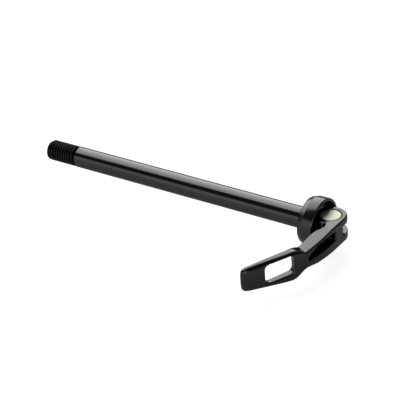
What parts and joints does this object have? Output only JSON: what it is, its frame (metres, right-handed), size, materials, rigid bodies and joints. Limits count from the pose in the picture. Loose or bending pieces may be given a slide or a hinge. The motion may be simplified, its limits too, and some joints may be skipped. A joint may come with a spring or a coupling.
{
  "type": "bicycle thru axle",
  "caption": "Round through axle for a rear wheel, threaded at its tip, with a flanged cup and a folding cam lever that clamps the wheel in the frame.",
  "frame": {"origin": "on the axle's axis, in the plane of the flange's seat face, with the lever closed", "axes": "+X along the axle toward the lever, +Z along the lever's pivot; the closed lever points to -Y and bends back toward -X"},
  "size_m": [0.1964, 0.0824, 0.028],
  "materials": {
    "axle_tube": "black anodised, semi-gloss",
    "flange_cup": "black anodised, satin",
    "saddle_washer": "hardened, ground",
    "bumper_ring": "matt",
    "draw_rod": "zinc plated",
    "pivot_barrel": "polished, pale",
    "lever": "black anodised, semi-gloss"
  },
  "bodies": {
    "axle": {"axle_tube": "axle_tube", "draw_rod": "draw_rod", "pivot_barrel": "pivot_barrel", "bumper_ring": "bumper_ring"},
    "flange": {"flange_cup": "flange_cup", "saddle_washer": "saddle_washer"},
    "lever": {"lever": "lever"}
  },
  "joints": [
    {"name": "lever_pivot", "type": "hinge", "parent": "axle", "child": "lever", "pos_m": [0.0137, 0, 0], "axis": [0, 0, 1], "range_deg": [0, 140]},
    {"name": "flange_slide", "type": "slide", "parent": "axle", "child": "flange", "axis": [1, 0, 0], "range_m": [0, 0.0007]}
  ],
  "couplings": [
    {"joint": "flange_slide", "follows": "lever_pivot", "m_per_rad": 0.00028648}
  ]
}
